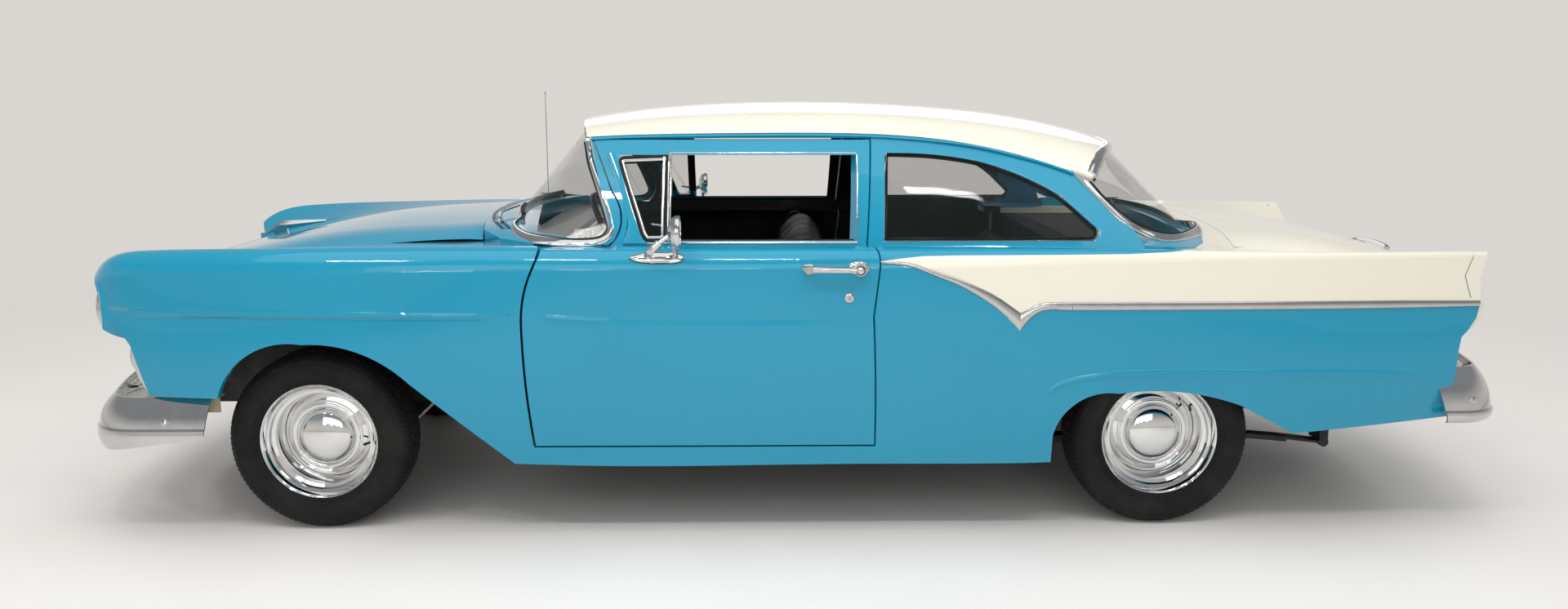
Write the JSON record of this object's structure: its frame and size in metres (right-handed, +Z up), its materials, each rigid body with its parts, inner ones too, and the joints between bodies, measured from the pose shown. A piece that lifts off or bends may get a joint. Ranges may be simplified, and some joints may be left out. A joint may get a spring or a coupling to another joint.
{
  "type": "two-door sedan car of the late 1950s",
  "caption": "Full-size two-door sedan with tail fins, wrapped windscreen, two-tone paint, opening doors, hood and trunk, steered and rolling wheels",
  "frame": {"origin": "On the floor under the middle of the car's bounding box", "axes": "+X forward, +Y to the car's left, +Z up"},
  "size_m": [5.1435, 2.11, 1.511],
  "materials": {
    "body_blue": "satin-free gloss paint, turquoise blue",
    "body_two_tone": "gloss paint, blue below the side moulding and cream above it",
    "body_cream": "gloss paint, warm cream",
    "bright_metal": "polished chrome plate",
    "window_glass": "clear laminated glass, faintly green",
    "lamp_glass": "clear fluted lamp glass",
    "red_lens": "clear red lens",
    "black_metal": "black chassis paint",
    "bare_iron": "painted cast iron",
    "wheel_chrome": "chromed steel",
    "tyre_rubber": "black road tyre",
    "black_vinyl": "black vinyl upholstery",
    "dash_paint": "black enamel",
    "black_plastic": "hard black rubber and plastic",
    "steel": "plain steel"
  },
  "bodies": {
    "body": {"fender_left": "body_blue", "fender_right": "body_blue", "body_side_left": "body_two_tone", "body_side_right": "body_two_tone", "cowl": "body_blue", "roof": "body_cream", "deck_panel": "body_cream", "rear_panel": "body_blue", "front_panel": "body_blue", "grille": "bright_metal", "front_bumper": "bright_metal", "rear_bumper": "bright_metal", "headlamps": "lamp_glass", "tail_lamps": "red_lens", "windshield": "window_glass", "rear_window": "window_glass", "quarter_windows": "window_glass", "floor_pan": "black_metal", "firewall": "black_metal", "trunk_floor": "black_metal", "wheelhouses": "black_metal", "dash": "dash_paint", "headlamp_bezels": "body_blue", "splash_pan": "body_cream", "front_bench": "black_vinyl", "rear_bench": "black_vinyl", "frame": "black_metal", "engine_block": "bare_iron", "radiator": "black_metal", "propeller_shaft": "steel", "rear_axle": "black_metal", "suspension_arms": "black_metal", "fuel_tank": "black_metal", "exhaust": "steel", "aerial": "bright_metal"},
    "door_left": {"door_left": "body_blue", "vent_window_left": "bright_metal", "door_fittings_left": "bright_metal"},
    "door_right": {"door_right": "body_blue", "vent_window_right": "bright_metal", "door_fittings_right": "bright_metal"},
    "hood": {"hood": "body_blue", "hood_ornament": "bright_metal"},
    "trunk_lid": {"trunk_lid": "body_cream"},
    "steering_wheel": {"steering_wheel": "black_plastic"},
    "knuckle_left": {"knuckle_left": "bare_iron"},
    "knuckle_right": {"knuckle_right": "bare_iron"},
    "track_rod": {"track_rod": "steel"},
    "pitman_arm": {"pitman_arm": "steel"},
    "idler_arm": {"idler_arm": "steel"},
    "road_wheel_front_left": {"tyre_front_left": "tyre_rubber", "wheel_front_left": "wheel_chrome"},
    "road_wheel_front_right": {"tyre_front_right": "tyre_rubber", "wheel_front_right": "wheel_chrome"},
    "road_wheel_rear_left": {"tyre_rear_left": "tyre_rubber", "wheel_rear_left": "wheel_chrome"},
    "road_wheel_rear_right": {"tyre_rear_right": "tyre_rubber", "wheel_rear_right": "wheel_chrome"}
  },
  "joints": [
    {"name": "steer", "type": "hinge", "parent": "body", "child": "knuckle_left", "pos_m": [1.665, 0.622, 0.318], "axis": [0, 0, 1], "range_deg": [-31, 31]},
    {"name": "steer_right", "type": "hinge", "parent": "body", "child": "knuckle_right", "pos_m": [1.665, -0.622, 0.318], "axis": [0, 0, 1], "range_deg": [-31, 31]},
    {"name": "track_rod_turn", "type": "hinge", "parent": "knuckle_left", "child": "track_rod", "pos_m": [1.495, 0.622, 0.238], "axis": [0, 0, 1], "range_deg": [-31, 31]},
    {"name": "pitman_turn", "type": "hinge", "parent": "body", "child": "pitman_arm", "pos_m": [1.665, 0.33, 0.258], "axis": [0, 0, 1], "range_deg": [-31, 31]},
    {"name": "idler_turn", "type": "hinge", "parent": "body", "child": "idler_arm", "pos_m": [1.665, -0.33, 0.258], "axis": [0, 0, 1], "range_deg": [-31, 31]},
    {"name": "wheel_turn", "type": "hinge", "parent": "body", "child": "steering_wheel", "pos_m": [0.647, 0.372, 0.9581], "axis": [-0.8711, 0, 0.491], "range_deg": [-620, 620]},
    {"name": "roll_front_left", "type": "hinge", "parent": "knuckle_left", "child": "road_wheel_front_left", "pos_m": [1.665, 0.75, 0.318], "axis": [0, 1, 0], "continuous": true},
    {"name": "roll_rear_left", "type": "hinge", "parent": "body", "child": "road_wheel_rear_left", "pos_m": [-1.281, 0.748, 0.318], "axis": [0, 1, 0], "continuous": true},
    {"name": "roll_front_right", "type": "hinge", "parent": "knuckle_right", "child": "road_wheel_front_right", "pos_m": [1.665, -0.75, 0.318], "axis": [0, 1, 0], "continuous": true},
    {"name": "roll_rear_right", "type": "hinge", "parent": "body", "child": "road_wheel_rear_right", "pos_m": [-1.281, -0.748, 0.318], "axis": [0, 1, 0], "continuous": true},
    {"name": "door_left_open", "type": "hinge", "parent": "body", "child": "door_left", "pos_m": [0.86, 0.95, 0.65], "axis": [0, 0, -1], "range_deg": [0, 65]},
    {"name": "door_right_open", "type": "hinge", "parent": "body", "child": "door_right", "pos_m": [0.86, -0.95, 0.65], "axis": [0, 0, 1], "range_deg": [0, 65]},
    {"name": "hood_open", "type": "hinge", "parent": "body", "child": "hood", "pos_m": [2.4, 0, 0.775], "axis": [0, 1, 0], "range_deg": [0, 50]},
    {"name": "trunk_open", "type": "hinge", "parent": "body", "child": "trunk_lid", "pos_m": [-1.572, 0, 1.04], "axis": [0, 1, 0], "range_deg": [0, 60]}
  ],
  "couplings": [
    {"joint": "steer_right", "follows": "steer", "ratio": 1},
    {"joint": "track_rod_turn", "follows": "steer", "ratio": -1},
    {"joint": "pitman_turn", "follows": "steer", "ratio": 1},
    {"joint": "idler_turn", "follows": "steer", "ratio": 1},
    {"joint": "wheel_turn", "follows": "steer", "ratio": 20}
  ]
}
